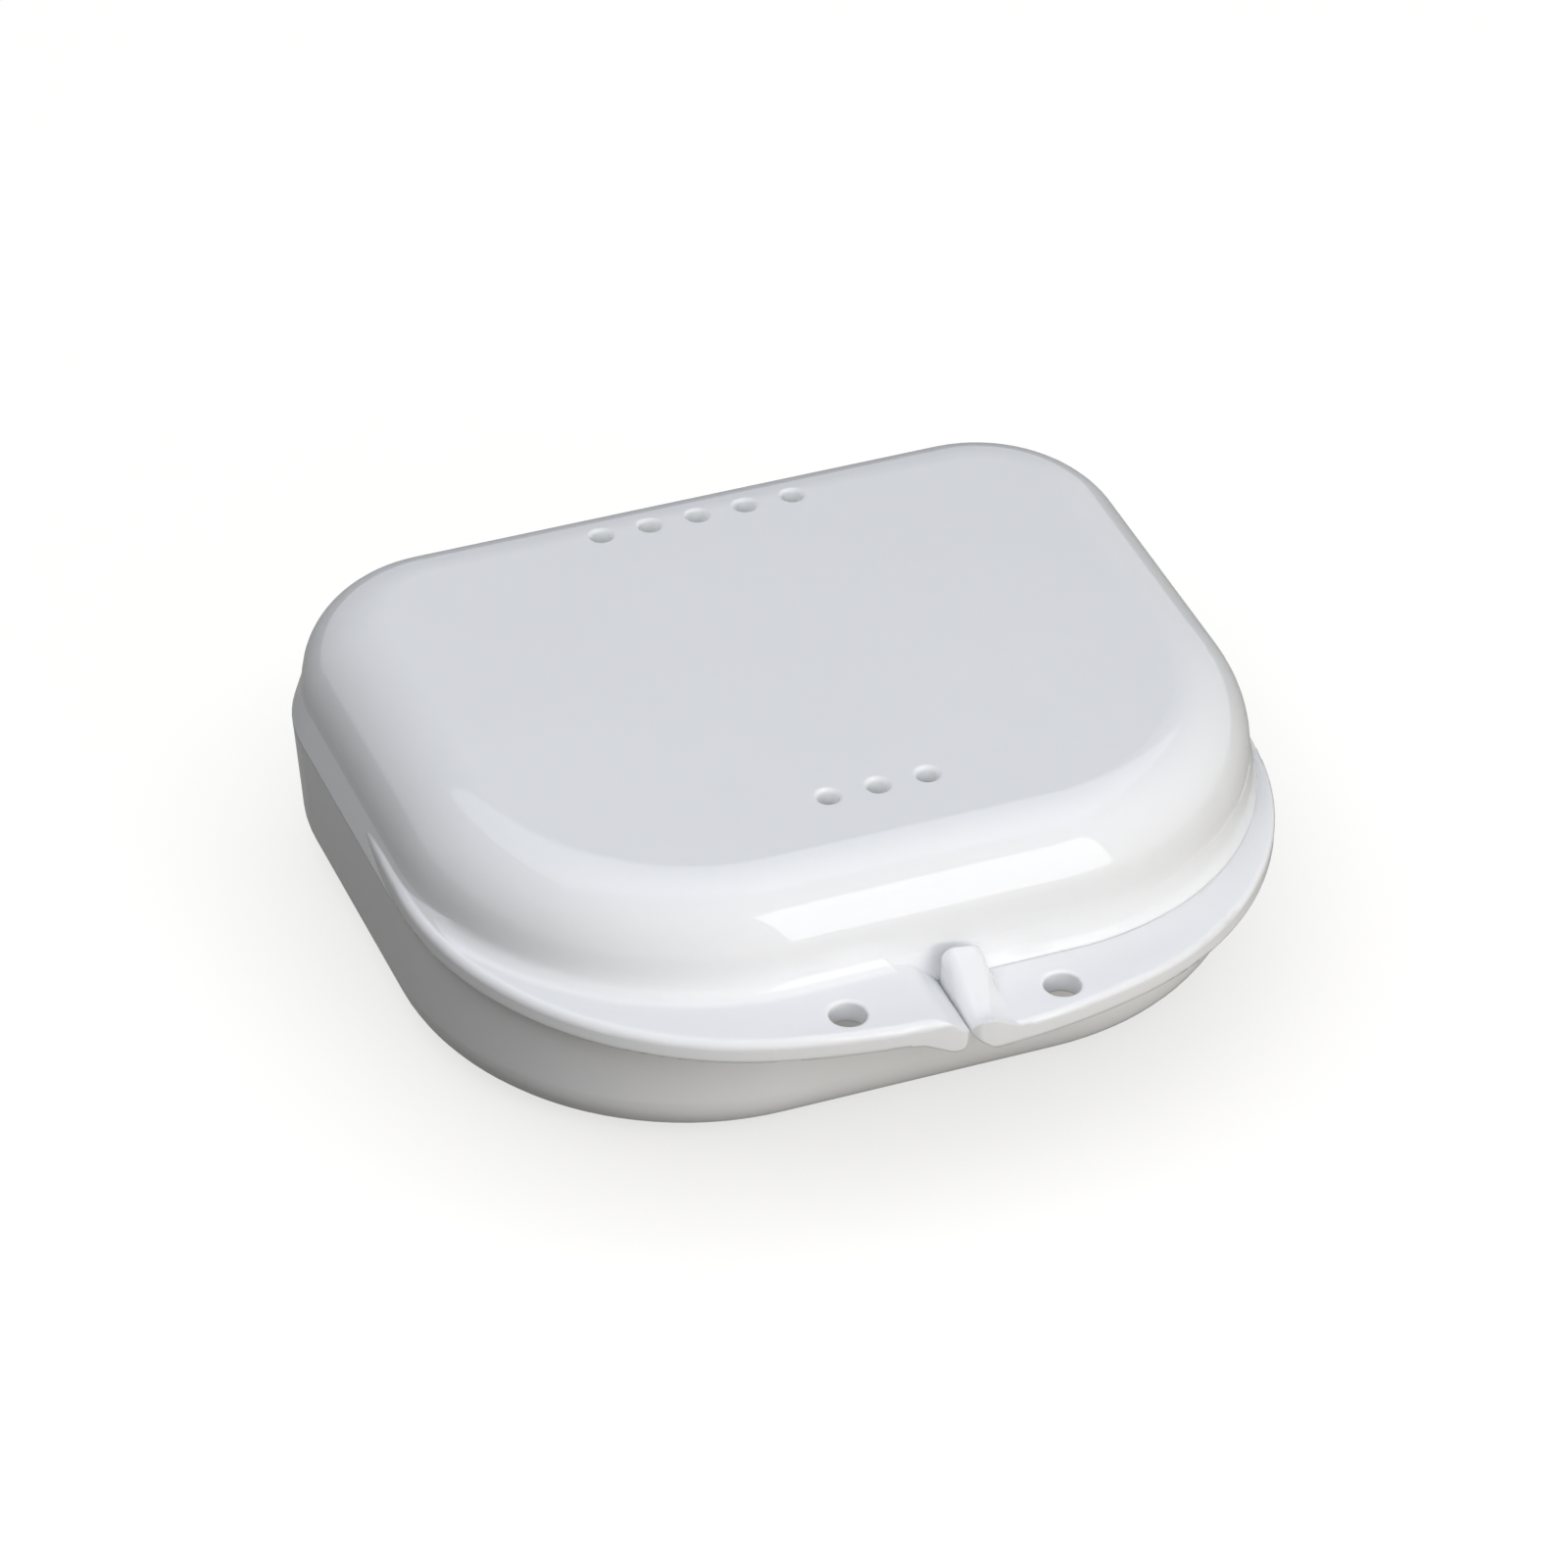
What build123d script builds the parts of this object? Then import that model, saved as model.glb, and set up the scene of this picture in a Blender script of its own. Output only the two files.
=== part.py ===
from build123d import *
import os
from math import atan, degrees, radians, tan

# Retainer case: a moulded plastic clamshell, lid over base, with two hinges at the back.
#
# +X is the right-hand side seen from the front, +Y is the hinge side and +Z is up.
# The origin is the middle of the flat underside. All sizes are in millimetres.
#
# Lid and base are mouldings of one design with two depths. Each is drawn as the lid lies, dome
# up and rim on the parting plane z = 0, with its wing on the left. The base is then turned half
# a turn about Y, which brings its dome down and its wing to the right.

# Driving dimensions

# Plan outline at the parting plane
case_width = 86.8
case_depth = 70.2
front_corner_radius = 29.5
back_corner_radius = 16.0

# Mouldings
wall = 1.8
lid_height = 11.8
lid_edge_radius = 7.8
lid_draft = 5.0
base_height = 15.6
base_edge_radius = 6.0
base_draft = 5.5

# Flared rim of the lid, and the lip of the base that locates it
rim_height = 3.3
rim_flare = 0.9
lip_height = 1.2
lip_thickness = 0.8
lip_clearance = 0.25
lip_chamfer = 0.3

# Thumb wings
wing_reach = 8.6
wing_thickness = 2.5
wing_front_radius = 70.0
wing_side_run = 35.0
wing_tip_length = 13.0
wing_tip_inset = 0.75
wing_edge_radius = 0.8
wing_foot_radius = 0.6
wing_corner_radius = 1.0
wing_nose_slope = 40.0
wing_nose_start = 0.25
wing_nose_reach = 4.0
wing_nose_radius = 3.0
wing_cove_radius = 1.6
wing_gap = 0.25

# Lanyard hole through each wing
lanyard_hole_radius = 1.8
lanyard_hole_offset = 10.8
lanyard_hole_edge = 0.3

# Guide lug at the inner end of each wing, standing in front of the other half's wall
lug_width = 4.9
lug_height = 4.1
lug_shoulder = 3.9
lug_crest_reach = 1.6
lug_crest_height = 3.8
lug_waist_reach = 4.3
lug_waist_height = 2.4
lug_waist_shoulder = 3.0
lug_end_height = 1.6
lug_end_shoulder = 2.0
lug_top_slope = 8.0
lug_radius = 1.2
lug_foot_depth = 0.1
lug_clearance = 0.3

# Vent holes in the lid's top and in the base's floor
vent_radius = 1.0
vent_edge = 0.3
vent_pitch = 5.0
front_vent_count = 3
front_vent_inset = 15.4
back_vent_count = 5
back_vent_inset = 8.9

# Hinges
pin_radius = 1.0
pin_running_clearance = 0.05
pin_end_recess = 0.2
pin_chamfer = 0.2
knuckle_wall = 1.4
knuckle_wall_gap = 0.3
knuckle_side_gap = 0.25
base_knuckle_length = 5.0
lid_knuckle_length = 6.5
hinge_spacing = 44.0

# Worked-out sizes

front_face = -case_depth / 2
back_face = case_depth / 2
lid_dome_inset = rim_flare - rim_height * tan(radians(lid_draft))
wing_front = front_face - wing_reach
wing_side = case_width / 2
wing_side_y = wing_front + wing_side_run
wing_tip_y = wing_side_y + wing_tip_length
lanyard_hole_y = front_face - wing_reach / 2
lip_inset = wall - lip_thickness
knuckle_radius = pin_radius + knuckle_wall
hinge_y = back_face + knuckle_radius + knuckle_wall_gap
lid_knuckle_half = lid_knuckle_length / 2
base_knuckle_start = lid_knuckle_half + knuckle_side_gap
hinge_half = base_knuckle_start + base_knuckle_length
far = 2 * case_width


# Plan outlines


def rim_outline(inset):
    """Outline of the case at the parting plane, moved in by inset."""
    outline = Rectangle(case_width - 2 * inset, case_depth - 2 * inset)
    front_corners = outline.vertices().group_by(Axis.Y)[0]
    outline = fillet(front_corners, front_corner_radius - inset)
    back_corners = outline.vertices().group_by(Axis.Y)[-1]
    return fillet(back_corners, back_corner_radius - inset)


def wing_outline():
    """Outline of the left wing and the part of the case behind it, rounded at its inner end."""
    # The corner arc touches both the front arc and the case's side, so its radius follows.
    corner_radius = (
        2 * wing_side_run * wing_front_radius - wing_side_run**2 - wing_side**2
    ) / (2 * (wing_front_radius - wing_side))
    front_centre = Vector(0, wing_front + wing_front_radius)
    corner_centre = Vector(corner_radius - wing_side, wing_side_y)
    towards_corner = (corner_centre - front_centre).normalized()
    start = Vector(0, wing_front)
    touch = front_centre + towards_corner * wing_front_radius
    side = Vector(-wing_side, wing_side_y)
    tip = Vector(wing_tip_inset - wing_side, wing_tip_y)
    front_arc = RadiusArc(start, touch, wing_front_radius)
    corner_arc = RadiusArc(touch, side, corner_radius)
    tip_arc = TangentArc(side, tip, tangent=(0, 1))
    inner = Polyline(tip, (0, wing_tip_y), start)
    outline = make_face([front_arc, corner_arc, tip_arc, inner]) - Rectangle(wing_gap, far)
    inner_corner = outline.vertices().sort_by(Axis.Y)[0]
    return fillet(inner_corner, wing_corner_radius)


# Features of one moulding


def bowl(inset, height, draft, edge_radius):
    """Tapered solid on the parting plane with a rounded far edge."""
    solid = extrude(rim_outline(inset), height, taper=draft)
    far_edges = solid.edges().group_by(Axis.Z)[-1]
    return fillet(far_edges, edge_radius)


def rim_band():
    """Flared foot around the lid's rim."""
    return extrude(rim_outline(0), rim_height, taper=degrees(atan(rim_flare / rim_height)))


def wing_plate():
    """Crescent plate with a rounded outer edge and the lanyard hole."""
    plate = extrude(wing_outline(), wing_thickness)
    top = plate.edges().group_by(Axis.Z)[-1]
    plate = fillet(top.filter_by(GeomType.CIRCLE), wing_edge_radius)
    outer = plate.edges().filter_by(GeomType.CIRCLE)
    plate = fillet(outer.group_by(Axis.Z)[0], wing_foot_radius)
    hole = Cylinder(lanyard_hole_radius, 2 * wing_thickness)
    plate -= Pos(-lanyard_hole_offset, lanyard_hole_y, wing_thickness / 2) * hole
    mouths = plate.edges().filter_by(GeomType.CIRCLE)
    mouths = mouths.filter_by(lambda edge: abs(edge.radius - lanyard_hole_radius) < 0.001)
    return fillet(mouths, lanyard_hole_edge)


def wing_cove(dome):
    """Hollow blend from the wing's top up to the dome, sloping off where the wing runs out."""
    solid = dome + extrude(rim_outline(-wing_reach), wing_thickness)
    ledges = solid.faces().filter_by(Axis.Z)
    ledge = ledges.filter_by(lambda face: len(face.inner_wires()) == 1)[0]
    solid = fillet(ledge.inner_wires()[0].edges(), wing_cove_radius)
    top = offset(wing_outline(), -wing_edge_radius, kind=Kind.INTERSECTION)
    return solid & Pos(0, 0, wing_thickness) * extrude(top, lid_height, taper=45)


def wing_nose():
    """Room for the wing: its inner end stands up, slopes back and blends into the top."""
    inner = -wing_gap / 2
    slope_run = (wing_thickness - wing_nose_start) / tan(radians(wing_nose_slope))
    level_end = inner - wing_nose_reach
    corners = [
        (inner, -far),
        (inner, wing_nose_start),
        (inner - slope_run, wing_thickness),
        (level_end, wing_thickness),
        (level_end - far, wing_thickness + far),
        (level_end - far, -far),
    ]
    room = make_face(Polyline(*corners, close=True))
    crest = room.vertices().sort_by(Axis.X)[3]
    return extrude(Plane.XZ * fillet(crest, wing_nose_radius), far, both=True)


def wing_lug():
    """Guide lug that hangs below the parting plane at the wing's inner end."""
    back = front_face - lug_clearance
    crest = front_face - lug_crest_reach
    waist = front_face - lug_waist_reach
    at_back = lug_section(back, lug_height, lug_shoulder)
    at_crest = lug_section(crest, lug_crest_height, lug_shoulder)
    at_waist = lug_section(waist, lug_waist_height, lug_waist_shoulder)
    at_end = lug_section(wing_front, lug_end_height, lug_end_shoulder)
    lug = loft([at_back, at_crest, at_waist, at_end])
    return lug & extrude(wing_outline(), lug_height, both=True)


def lug_section(y, height, shoulder):
    """Section of the lug at y: rounded corners, a gentle fall, then down to a hollow foot."""
    inner = -wing_gap / 2
    top = wing_thickness / 2
    shoulder_height = height - (shoulder + inner) * tan(radians(lug_top_slope))
    foot_end = -lug_width - lug_radius
    corners = [
        (inner, top),
        (inner, -height),
        (-shoulder, -shoulder_height),
        (-lug_width, lug_foot_depth),
        (foot_end, 2 * lug_foot_depth),
        (foot_end, top),
    ]
    section = make_face(Polyline(*corners, close=True))
    rounded = section.vertices().filter_by_position(Axis.Y, -height, lug_foot_depth)
    section = fillet(rounded, lug_radius)
    return Plane((0, y, 0), x_dir=(1, 0, 0), z_dir=(0, -1, 0)) * section


def vents(height):
    """Tools for both rows of vents through the far wall."""
    drill = Cylinder(vent_radius, 3 * wall)
    mouth = Pos(0, 0, -vent_edge / 2) * Cone(vent_radius, vent_radius + vent_edge, vent_edge)
    front = Pos(0, front_face + front_vent_inset, height)
    back = Pos(0, back_face - back_vent_inset, height)
    tool = drill + mouth
    rows = [front * place * tool for place in GridLocations(vent_pitch, 1, front_vent_count, 1)]
    rows += [back * place * tool for place in GridLocations(vent_pitch, 1, back_vent_count, 1)]
    return rows


def knuckle(middle, length):
    """Hinge knuckle with the web that carries it."""
    barrel = Rot(0, 90, 0) * Cylinder(knuckle_radius, length)
    web_reach = hinge_y - back_face + wall
    web = Box(length, web_reach, knuckle_radius - knuckle_wall_gap)
    web_rise = (knuckle_radius + knuckle_wall_gap) / 2
    return Pos(middle, hinge_y, 0) * (barrel + Pos(0, -web_reach / 2, web_rise) * web)


def pin_bore(radius):
    """Bore through all the knuckles."""
    return Pos(0, hinge_y, 0) * Rot(0, 90, 0) * Cylinder(radius, far)


def moulding(height, draft, edge_radius, inset, knuckle_middles, knuckle_length, bore_radius):
    """One half of the case without what differs at the rim."""
    dome = bowl(inset, height, draft, edge_radius)
    room = bowl(inset + wall, height - wall, draft, edge_radius - wall)
    wing = (wing_plate() + wing_cove(dome) + wing_lug()) & wing_nose()
    half = dome + wing
    for middle in knuckle_middles:
        half += knuckle(middle, knuckle_length)
    half -= pin_bore(bore_radius)
    half -= room
    for vent in vents(height):
        half -= vent
    return half


# The pieces


def lid_shell():
    """Lid, with a flared rim that is rebated for the base's lip."""
    middles = [-hinge_spacing / 2, hinge_spacing / 2]
    radius = pin_radius + pin_running_clearance
    shell = moulding(
        lid_height, lid_draft, lid_edge_radius, lid_dome_inset, middles, lid_knuckle_length, radius
    )
    room = bowl(lid_dome_inset + wall, lid_height - wall, lid_draft, lid_edge_radius - wall)
    shell += rim_band() - room
    shell -= extrude(rim_outline(lip_inset - lip_clearance), lip_height + lip_clearance)
    return Pos(0, 0, base_height) * shell


def base_shell():
    """Base, with a lip inside its rim."""
    step = base_knuckle_start + base_knuckle_length / 2
    middles = [
        side * hinge_spacing / 2 + end * step for side in (-1, 1) for end in (-1, 1)
    ]
    shell = moulding(
        base_height, base_draft, base_edge_radius, 0, middles, base_knuckle_length, pin_radius
    )
    lip = extrude(rim_outline(lip_inset), -lip_height)
    lip = chamfer(lip.edges().group_by(Axis.Z)[0], lip_chamfer)
    shell += lip - extrude(rim_outline(wall), -lip_height)
    return Pos(0, 0, base_height) * Rot(0, 180, 0) * shell


def hinge_pin(side):
    """Steel pin, pressed into the base's knuckles and running in the lid's."""
    pin = Rot(0, 90, 0) * Cylinder(pin_radius, 2 * (hinge_half - pin_end_recess))
    pin = chamfer(pin.edges(), pin_chamfer)
    return Pos(side * hinge_spacing / 2, hinge_y, base_height) * pin


pieces = {
    "lid_shell": lid_shell(),
    "base_shell": base_shell(),
    "hinge_pin_left": hinge_pin(-1),
    "hinge_pin_right": hinge_pin(1),
}

os.makedirs("parts", exist_ok=True)
for name, piece in pieces.items():
    solids = piece.solids()
    print(name, len(solids), "solid", round(piece.volume), "mm3", "valid", piece.is_valid)
    export_step(solids[0], f"parts/{name}.step")
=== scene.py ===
# %% [markdown]
# # A retainer case in white plastic
# The object is a small hinged case for a dental retainer: two injection mouldings in glossy
# white plastic that turn on two steel pins at the back. The CAD model already holds every
# moulded form, so this lesson keeps its solids and gives them their finishes, then builds the
# studio: a camera, a floor, a backdrop and lamps. Its box is kept.

# %% Load the CAD frame
from math import cos, radians, sin

import bpy
from mathutils import Matrix, Vector


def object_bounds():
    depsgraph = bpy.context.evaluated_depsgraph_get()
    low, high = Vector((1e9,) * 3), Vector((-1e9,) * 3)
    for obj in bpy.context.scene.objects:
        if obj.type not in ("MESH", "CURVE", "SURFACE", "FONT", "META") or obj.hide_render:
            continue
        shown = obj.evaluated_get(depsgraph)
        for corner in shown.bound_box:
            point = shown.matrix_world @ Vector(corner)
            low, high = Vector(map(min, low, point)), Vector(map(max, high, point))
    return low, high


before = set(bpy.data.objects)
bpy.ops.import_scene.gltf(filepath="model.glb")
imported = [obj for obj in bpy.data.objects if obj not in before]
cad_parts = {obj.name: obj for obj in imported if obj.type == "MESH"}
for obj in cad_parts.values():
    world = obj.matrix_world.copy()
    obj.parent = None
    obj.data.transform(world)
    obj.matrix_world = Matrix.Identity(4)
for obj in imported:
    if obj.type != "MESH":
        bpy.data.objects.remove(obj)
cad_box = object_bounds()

MM = 0.001
print("nodes", sorted(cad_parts))
cad_size = [round((high - low) / MM, 1) for low, high in zip(*cad_box)]
print("CAD box in mm", cad_size)

# %% [markdown]
# Colours are written as sRGB hex values, the way a designer picks them on a screen. Cycles works
# in linear light, so one function turns each value into linear red, green and blue.


# %% Colours
def linear(hex_colour):
    """Linear RGBA of an sRGB hex colour such as #E8EAEE."""
    channels = [int(hex_colour[i : i + 2], 16) / 255 for i in (1, 3, 5)]
    curve = [c / 12.92 if c <= 0.04045 else ((c + 0.055) / 1.055) ** 2.4 for c in channels]
    return (*curve, 1.0)


print("mid grey #808080 is", round(linear("#808080")[0], 3), "in linear light")

# %% [markdown]
# A material is a small network of nodes. One function adds a node of any kind, sets its
# settings and values, and links its inputs, so each material below reads as a list of steps.
# A value that is a tuple of a node and an output becomes a link, and anything else is set on
# the socket itself. Most sockets go by their names. Where several share a name they go by
# number: a Math node has 0, 1 and 2, and a Mix node 2 and 3 for plain numbers and 6 and 7 for
# colours.


# %% Node helper
def add(tree, kind, settings=None, **inputs):
    """Adds a shader node. Input names use _ for a space, and i6 is input number 6."""
    node = tree.nodes.new("ShaderNode" + kind)
    for name, value in (settings or {}).items():
        setattr(node, name, value)
    for name, value in inputs.items():
        key = int(name[1:]) if name[0] == "i" and name[1:].isdigit() else name.replace("_", " ")
        socket = node.inputs[key]
        if isinstance(value, tuple) and hasattr(value[0], "outputs"):
            tree.links.new(value[0].outputs[value[1]], socket)
        else:
            socket.default_value = value
    return node


def new_material(name):
    """An empty material, and its node tree."""
    material = bpy.data.materials.new(name)
    material.use_nodes = True
    material.node_tree.nodes.clear()
    return material, material.node_tree


def per_metre(millimetres):
    """Scale of a pattern that repeats once in so many millimetres."""
    return 1 / (millimetres * MM)


print("a 2 mm pattern has scale", per_metre(2.0))

# %% [markdown]
# ## Moulded white plastic
# The mouldings are white polypropylene, shot into a polished steel mould. The colour is a
# slightly cool white that hardly changes over the part. A painted texture would need the
# shells unwrapped, so the patterns are noise in the object's own space instead, where a size
# in millimetres holds on every face.

# %% White polypropylene: colour
TONE_PATCH_MM = 26.0

plastic, tree = new_material("white_polypropylene_moulded_gloss")
place = add(tree, "TexCoord")
tone = add(
    tree, "TexNoise", Vector=(place, "Object"), Scale=per_metre(TONE_PATCH_MM), Detail=2.0
)
colour = add(
    tree,
    "Mix",
    {"data_type": "RGBA"},
    Factor=(tone, 0),
    i6=linear("#EAEBEE"),
    i7=linear("#EEEFF2"),
)
print("white drifts over patches of", TONE_PATCH_MM, "mm")

# %% [markdown]
# The inside of a shell copies a core that is only stoned, not polished, so it is duller than
# the outside. It is one solid with the outside, so a mask tells them apart instead of a second
# material: an inside face looks back towards the middle of the case. The dot product of its
# normal and the direction away from the middle is then below zero.

# %% White polypropylene: inside faces
CASE_MIDDLE = (0.0, 0.0, sum(z for _, _, z in cad_box) / 2)
OUTSIDE_FACING = 0.05
INSIDE_FACING = -0.15

from_middle = add(
    tree, "VectorMath", {"operation": "SUBTRACT"}, i0=(place, "Object"), i1=CASE_MIDDLE
)
outwards = add(tree, "VectorMath", {"operation": "NORMALIZE"}, i0=(from_middle, "Vector"))
facing = add(
    tree, "VectorMath", {"operation": "DOT_PRODUCT"}, i0=(outwards, "Vector"), i1=(place, "Normal")
)
inside = add(
    tree, "MapRange", Value=(facing, "Value"), From_Min=OUTSIDE_FACING, From_Max=INSIDE_FACING
)
print("middle of the case at", [round(v / MM, 1) for v in CASE_MIDDLE], "mm")

# %% [markdown]
# Polished tooling gives a clear gloss, so the lamps show as shapes with sharp edges. Handling
# leaves the faintest rub marks. They run from front to back, so their noise is stretched that
# way, and they change the roughness and not the colour.

# %% White polypropylene: gloss
GLOSS_ROUGHNESS = 0.02
CORE_ROUGHNESS = 0.32
RUB_ROUGHNESS = 0.03
RUB_MARK_MM = 3.0
RUB_STRETCH = (1.0, 0.16, 1.0)
RUB_FAINTEST = 0.45
RUB_STRONGEST = 0.75

stretched = add(tree, "Mapping", Vector=(place, "Object"), Scale=RUB_STRETCH)
rubs = add(
    tree, "TexNoise", Vector=(stretched, "Vector"), Scale=per_metre(RUB_MARK_MM), Detail=6.0
)
polished = add(
    tree,
    "MapRange",
    Value=(rubs, 0),
    From_Min=RUB_FAINTEST,
    From_Max=RUB_STRONGEST,
    To_Min=GLOSS_ROUGHNESS,
    To_Max=GLOSS_ROUGHNESS + RUB_ROUGHNESS,
)
roughness = add(
    tree,
    "Mix",
    {"data_type": "FLOAT"},
    Factor=(inside, "Result"),
    i2=(polished, "Result"),
    i3=CORE_ROUGHNESS,
)
print("roughness outside", GLOSS_ROUGHNESS, "and inside", CORE_ROUGHNESS)

# %% [markdown]
# The skin is glossy but not a mirror. Plastic shrinks as it cools, which leaves slow, shallow
# waves that bend the edges of a reflection, and fine ones over them. The stoned core has a
# grain, drawn a little coarser than life so that it shows. All three are bumps, because they
# are far too shallow to change the outline. A moulded edge is never quite sharp either, so a
# Bevel node rounds the normals at the edges first.

# %% White polypropylene: relief
SINK_WAVE_MM = 11.0
SINK_DEPTH_MM = 0.012
SKIN_WAVE_MM = 1.4
SKIN_DEPTH_MM = 0.0006
CORE_GRAIN_MM = 0.45
CORE_GRAIN_DEPTH_MM = 0.004
EDGE_SOFTNESS_MM = 0.3
EDGE_SAMPLES = 6

sink = add(
    tree, "TexNoise", Vector=(place, "Object"), Scale=per_metre(SINK_WAVE_MM), Detail=0.0
)
skin = add(
    tree, "TexNoise", Vector=(place, "Object"), Scale=per_metre(SKIN_WAVE_MM), Detail=1.0
)
grain = add(
    tree, "TexNoise", Vector=(place, "Object"), Scale=per_metre(CORE_GRAIN_MM), Detail=2.0
)
grain_inside = add(
    tree, "Math", {"operation": "MULTIPLY"}, i0=(grain, 0), i1=(inside, "Result")
)
relief = add(tree, "Bevel", {"samples": EDGE_SAMPLES}, Radius=EDGE_SOFTNESS_MM * MM)
for waves, depth_mm in (
    (sink, SINK_DEPTH_MM),
    (skin, SKIN_DEPTH_MM),
    (grain_inside, CORE_GRAIN_DEPTH_MM),
):
    relief = add(
        tree,
        "Bump",
        Height=(waves, 0),
        Distance=depth_mm * MM,
        Strength=1.0,
        Normal=(relief, "Normal"),
    )
print("edges softened over", EDGE_SOFTNESS_MM, "mm")

# %% [markdown]
# Some light soaks into white plastic and comes out again close by, so a small hole in it never
# looks black. Deeper soaking would leave dark lines where the two rims touch, so the shader
# takes only a share of it. The walls of the vents get a very low painted glow instead, an
# emission that is painted light standing in for the rest of that soaked light. A
# second mask finds those walls: they stand upright, and they lie within one shell's thickness
# of the top or the underside of the case.

# %% White polypropylene: painted light in the vents
VENT_WALL_MM = 1.85
VENT_WALL_UPRIGHT = 0.6
PAINTED_VENT_GLOW = 0.1
CASE_HALF_HEIGHT = (cad_box[1][2] - cad_box[0][2]) / 2

height = add(tree, "SeparateXYZ", Vector=(from_middle, "Vector"))
from_waist = add(tree, "Math", {"operation": "ABSOLUTE"}, i0=(height, "Z"))
near_face = add(
    tree,
    "Math",
    {"operation": "COMPARE"},
    i0=(from_waist, 0),
    i1=CASE_HALF_HEIGHT,
    i2=VENT_WALL_MM * MM,
)
normal = add(tree, "SeparateXYZ", Vector=(place, "Normal"))
lying = add(tree, "Math", {"operation": "ABSOLUTE"}, i0=(normal, "Z"))
upright = add(tree, "Math", {"operation": "LESS_THAN"}, i0=(lying, 0), i1=VENT_WALL_UPRIGHT)
vent_walls = add(tree, "Math", {"operation": "MULTIPLY"}, i0=(near_face, 0), i1=(upright, 0))
painted_vent_glow = add(tree, "Math", {"operation": "MULTIPLY"}, i0=(vent_walls, 0), i1=PAINTED_VENT_GLOW)
print("vent walls reach", VENT_WALL_MM, "mm into the case")

# %% [markdown]
# One Principled shader brings the plastic together. Polypropylene's IOR is 1.49, which gives
# its plain gloss of about 4 % straight on. Red light travels a little further in it than blue.

# %% White polypropylene: shader
POLYPROPYLENE_IOR = 1.49
SOAKING_SHARE = 0.3
SOAKING_DEPTH_MM = 0.8
SOAKING_REACH = (1.0, 0.92, 0.85)

shader = add(
    tree,
    "BsdfPrincipled",
    Base_Color=(colour, "Result"),
    Roughness=(roughness, "Result"),
    Normal=(relief, "Normal"),
    IOR=POLYPROPYLENE_IOR,
    Subsurface_Weight=SOAKING_SHARE,
    Subsurface_Radius=SOAKING_REACH,
    Subsurface_Scale=SOAKING_DEPTH_MM * MM,
    # The emission is the painted glow on the vent walls, painted light and not a lamp.
    Emission_Color=linear("#F2F6F0"),
    Emission_Strength=(painted_vent_glow, 0),
)
add(tree, "OutputMaterial", Surface=(shader, "BSDF"))
print("plastic nodes:", len(tree.nodes))

# %% [markdown]
# ## Drawn steel
# The hinge pins are short lengths of drawn stainless wire, cropped and chamfered. Drawing
# pulls fine straight lines along the wire, so the pattern is stretched along X, the pin's own
# direction, and the roughness follows it. The real lines lie about ten times closer and
# wouldn't show, so they are drawn as coarse as they need to be. The metal keeps the default
# IOR, because its colour already says how much it reflects.

# %% Drawn stainless steel
DRAWN_LINE_MM = 0.12
DRAWN_STRETCH = (0.04, 1.0, 1.0)
DRAWN_DEPTH_MM = 0.002
BRIGHTEST_ROUGHNESS = 0.22
DULLEST_ROUGHNESS = 0.42

steel, tree = new_material("stainless_steel_drawn_wire")
place = add(tree, "TexCoord")
along = add(tree, "Mapping", Vector=(place, "Object"), Scale=DRAWN_STRETCH)
lines = add(
    tree, "TexNoise", Vector=(along, "Vector"), Scale=per_metre(DRAWN_LINE_MM), Detail=3.0
)
roughness = add(
    tree, "MapRange", Value=(lines, 0), To_Min=BRIGHTEST_ROUGHNESS, To_Max=DULLEST_ROUGHNESS
)
colour = add(
    tree,
    "Mix",
    {"data_type": "RGBA"},
    Factor=(lines, 0),
    i6=linear("#BDBEC0"),
    i7=linear("#D2D3D4"),
)
bump = add(tree, "Bump", Height=(lines, 0), Distance=DRAWN_DEPTH_MM * MM, Strength=1.0)
shader = add(
    tree,
    "BsdfPrincipled",
    Base_Color=(colour, "Result"),
    Metallic=1.0,
    Roughness=(roughness, "Result"),
    Normal=(bump, "Normal"),
)
add(tree, "OutputMaterial", Surface=(shader, "BSDF"))
print("steel nodes:", len(tree.nodes))

# %% [markdown]
# ## Dressing the solids
# The CAD file names a material slot on each piece. Changing what a slot holds leaves the mesh
# as it is, so the pieces keep their true shapes and get their finishes by slot.

# %% Give each piece its finish
finishes = {"white_plastic": plastic, "pin_steel": steel}
for name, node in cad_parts.items():
    for slot in node.material_slots:
        slot.material = finishes[slot.material.name]
    print(name, "is", node.material_slots[0].material.name)

# %% [markdown]
# ## Camera
# The photograph was taken from in front, a little to the left and well above, with a long lens.
# Its view was worked out from the rows of vents, the lanyard holes and the outline, and is
# written here as where the lens stands, seen from the middle vent of the front row. The camera
# is built from three directions at right angles, right, up and back, then turned by its roll.

# %% Camera
FRAME_PIXELS = 1600
FOCAL_PIXELS = 7743.0
SENSOR_MM = 36.0
NEAREST_SEEN_MM = 50.0
CAMERA_AZIMUTH = -23.28
CAMERA_ELEVATION = 37.6
CAMERA_ROLL = 2.008
CAMERA_DISTANCE_MM = 706.64
CAMERA_RIGHT_MM = -8.726
CAMERA_UP_MM = -0.229
MIDDLE_VENT_MM = (0.0, -19.7, cad_size[2])


def direction(azimuth, elevation):
    """Unit vector towards a place seen from the object: azimuth 0 is the front, 90 the right."""
    a, e = radians(azimuth), radians(elevation)
    return Vector((sin(a) * cos(e), -cos(a) * cos(e), sin(e)))


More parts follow.
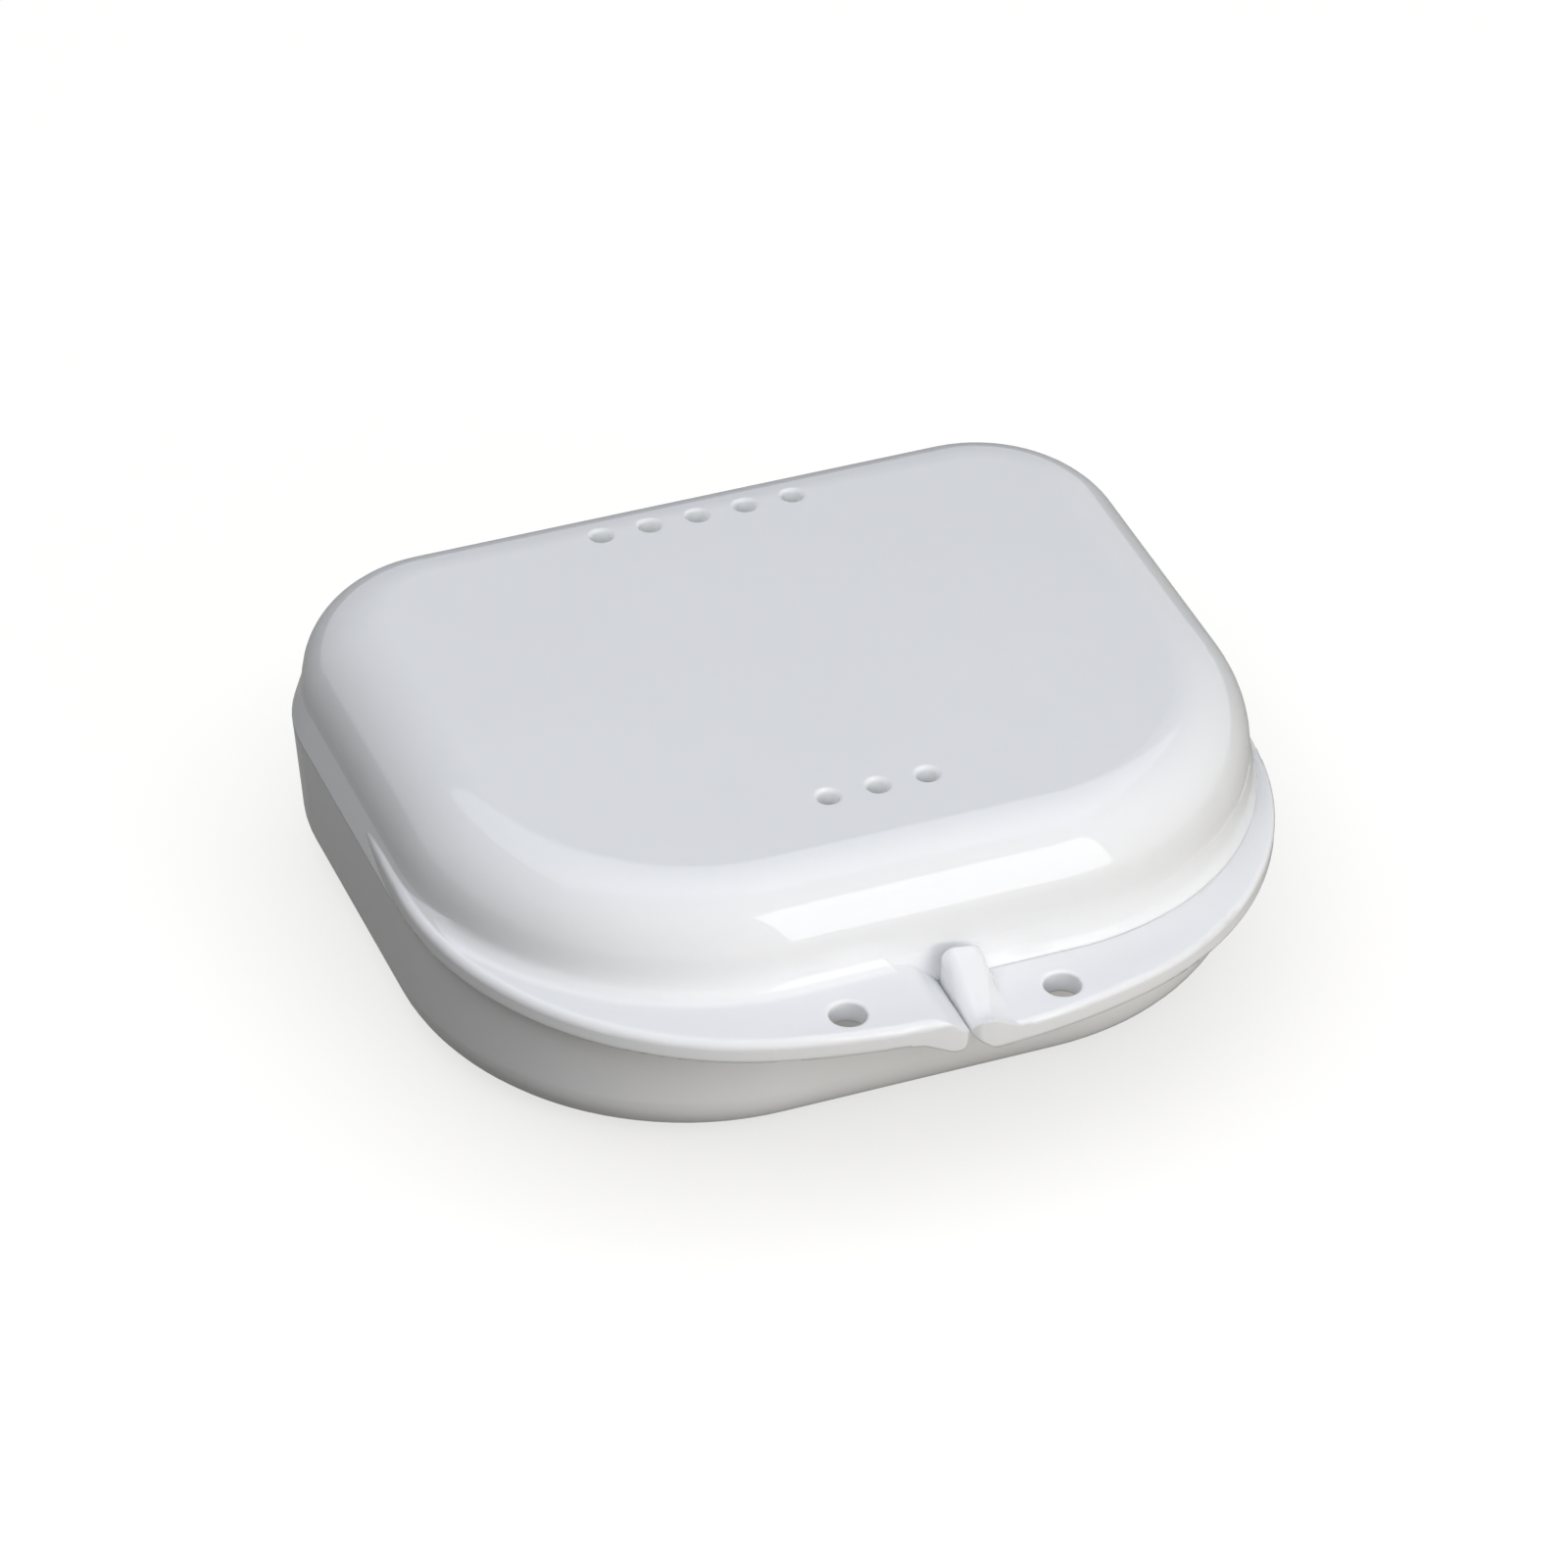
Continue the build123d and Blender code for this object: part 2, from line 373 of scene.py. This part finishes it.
back = direction(CAMERA_AZIMUTH, CAMERA_ELEVATION)
right = Vector((cos(radians(CAMERA_AZIMUTH)), sin(radians(CAMERA_AZIMUTH)), 0.0))
up = back.cross(right)
lens_place = (
    Vector(MIDDLE_VENT_MM)
    + back * CAMERA_DISTANCE_MM
    + right * CAMERA_RIGHT_MM
    + up * CAMERA_UP_MM
) * MM
turn = Matrix.Rotation(radians(CAMERA_ROLL), 3, back)
axes = Matrix((turn @ right, turn @ up, back)).transposed()
camera_data = bpy.data.cameras.new("camera")
camera_data.sensor_width = SENSOR_MM
camera_data.lens = FOCAL_PIXELS / FRAME_PIXELS * SENSOR_MM
camera_data.clip_start = NEAREST_SEEN_MM * MM
camera = bpy.data.objects.new("camera", camera_data)
camera.matrix_world = Matrix.Translation(lens_place) @ axes.to_4x4()
bpy.context.scene.collection.objects.link(camera)
bpy.context.scene.camera = camera
print("lens", round(camera_data.lens, 1), "mm at", [round(v, 3) for v in lens_place])

# %% [markdown]
# ## Floor
# The case stands on a sheet of paper. One flat square is enough, so large that its edge stays
# out of the picture, and a hair below the case, so that the two faces don't share one plane.

# %% Floor sheet
FLOOR_SIZE_MM = 4000.0
FLOOR_GAP_MM = 0.02

half = FLOOR_SIZE_MM / 2 * MM
corners = [(-half, -half, 0), (half, -half, 0), (half, half, 0), (-half, half, 0)]
floor_mesh = bpy.data.meshes.new("floor")
floor_mesh.from_pydata(corners, [], [(0, 1, 2, 3)])
floor = bpy.data.objects.new("floor", floor_mesh)
floor.location.z = -FLOOR_GAP_MM * MM
bpy.context.scene.collection.objects.link(floor)
print("floor", FLOOR_SIZE_MM, "mm square")

# %% [markdown]
# The paper has to look white, but a really white one would throw light up at the case, whose
# lower walls are dark in the photograph. So it is a dark matt to the light that lands on the
# case, and has a white of its own where a ray sees it: straight from the lens, in the gloss or
# through something clear. In the gloss that white is lower, since the paper that the gloss
# shows lies in the shade close to the case. Ambient occlusion dims it next to the case, which
# draws the soft contact shadow. From below it is clear, so that the underside can be looked at.


# %% Floor paper
def seeing_rays(tree):
    """The Light Path node, and a node that is 1 where a ray sees and 0 where it only lights."""
    rays = add(tree, "LightPath")
    lens_or_gloss = add(
        tree,
        "Math",
        {"operation": "MAXIMUM"},
        i0=(rays, "Is Camera Ray"),
        i1=(rays, "Is Glossy Ray"),
    )
    seeing = add(
        tree,
        "Math",
        {"operation": "MAXIMUM"},
        i0=(lens_or_gloss, 0),
        i1=(rays, "Is Transmission Ray"),
    )
    return rays, seeing


PAPER_WHITE = 0.95
PAPER_WHITE_IN_GLOSS = 0.3
CONTACT_REACH_MM = 20.0
CONTACT_TONE = 0.72
CONTACT_SAMPLES = 8

paper, tree = new_material("floor_paper_white")
rays, seeing = seeing_rays(tree)
matt = add(tree, "BsdfDiffuse", Color=linear("#55524C"))
open_sky = add(
    tree, "AmbientOcclusion", {"samples": CONTACT_SAMPLES}, Distance=CONTACT_REACH_MM * MM
)
white = add(
    tree,
    "MapRange",
    Value=(rays, "Is Camera Ray"),
    To_Min=PAPER_WHITE_IN_GLOSS,
    To_Max=PAPER_WHITE,
)
contact = add(tree, "MapRange", Value=(open_sky, "AO"), To_Min=CONTACT_TONE)
shaded_white = add(
    tree, "Math", {"operation": "MULTIPLY"}, i0=(contact, "Result"), i1=(white, "Result")
)
own_light = add(tree, "Emission", Color=linear("#FFFFFF"), Strength=(shaded_white, 0))
as_seen = add(tree, "AddShader", i0=(matt, 0), i1=(own_light, 0))
above = add(tree, "MixShader", i0=(seeing, 0), i1=(matt, 0), i2=(as_seen, 0))
clear = add(tree, "BsdfTransparent")
side = add(tree, "NewGeometry")
both_sides = add(tree, "MixShader", i0=(side, "Backfacing"), i1=(above, 0), i2=(clear, 0))
add(tree, "OutputMaterial", Surface=(both_sides, 0))
floor.data.materials.append(paper)
print("paper nodes:", len(tree.nodes))

# %% [markdown]
# ## Backdrop
# The world is the backdrop. It is white where a ray sees it, and a very low grey where it only
# lights the case, so that the lamps alone shape the shading.

# %% Backdrop
BACKDROP_LIGHT = 0.02

world = bpy.data.worlds.new("backdrop")
world.use_nodes = True
tree = world.node_tree
tree.nodes.clear()
rays, seeing = seeing_rays(tree)
lighting = add(tree, "Background", Color=linear("#DDE1E8"), Strength=BACKDROP_LIGHT)
white = add(tree, "Background", Color=linear("#FFFFFF"), Strength=1.0)
backdrop = add(tree, "MixShader", i0=(seeing, 0), i1=(lighting, 0), i2=(white, 0))
add(tree, "OutputWorld", Surface=(backdrop, 0))
bpy.context.scene.world = world
print("backdrop nodes:", len(tree.nodes))

# %% [markdown]
# ## Lamps
# The lamps are softboxes. The long bright bar on the front of the lid is the mirror image of a
# tall one in front and to the right, so its place and its shape were worked out from that bar.
# The backdrop is already white in the gloss, so this lamp is about three times brighter. The
# overhead one gives the flat top its even tone. The four fills shade the case softly from its
# pale front to its dark left wall. They are left out of the gloss, because the photograph's
# gloss shows none of them.


# %% Softboxes
def softbox(name, towards, distance, size, watts, colour="#FFFFFF", mirrored=True):
    """Rectangular lamp that faces the case, in metres and degrees of azimuth and elevation."""
    data = bpy.data.lights.new(name, "AREA")
    data.shape = "RECTANGLE"
    data.size, data.size_y = size
    data.energy = watts
    data.color = linear(colour)[:3]
    lamp = bpy.data.objects.new(name, data)
    line = direction(*towards)
    lamp.location = Vector(CASE_MIDDLE) + line * distance
    lamp.rotation_mode = "QUATERNION"
    lamp.rotation_quaternion = line.to_track_quat("Z", "Y")
    lamp.visible_glossy = mirrored
    bpy.context.scene.collection.objects.link(lamp)
    return lamp


lamps = [
    softbox("tall_softbox_front_right", (26, 29.6), 1.1, (0.42, 0.86), 3.3, "#F8FCFF"),
    softbox("overhead_softbox", (165, 70), 1.0, (1.1, 0.9), 3.3, "#EFF5FF"),
    softbox("near_front_fill", (5, 40), 0.45, (0.4, 0.3), 0.2, mirrored=False),
    softbox("low_front_fill", (34, 8), 1.2, (0.9, 0.3), 5.6, "#FFF8EA", mirrored=False),
    softbox("front_left_fill", (-30, 34), 0.8, (0.5, 0.5), 1.3, mirrored=False),
    softbox("high_left_fill", (-72, 60), 1.0, (0.6, 0.6), 2.8, mirrored=False),
]
for lamp in lamps:
    print(lamp.name, round(lamp.data.energy, 2), "W")

# %% [markdown]
# ## Finish
# The Standard view transform shows each colour as it is written.

# %% Finish
bpy.context.scene.view_settings.view_transform = "Standard"
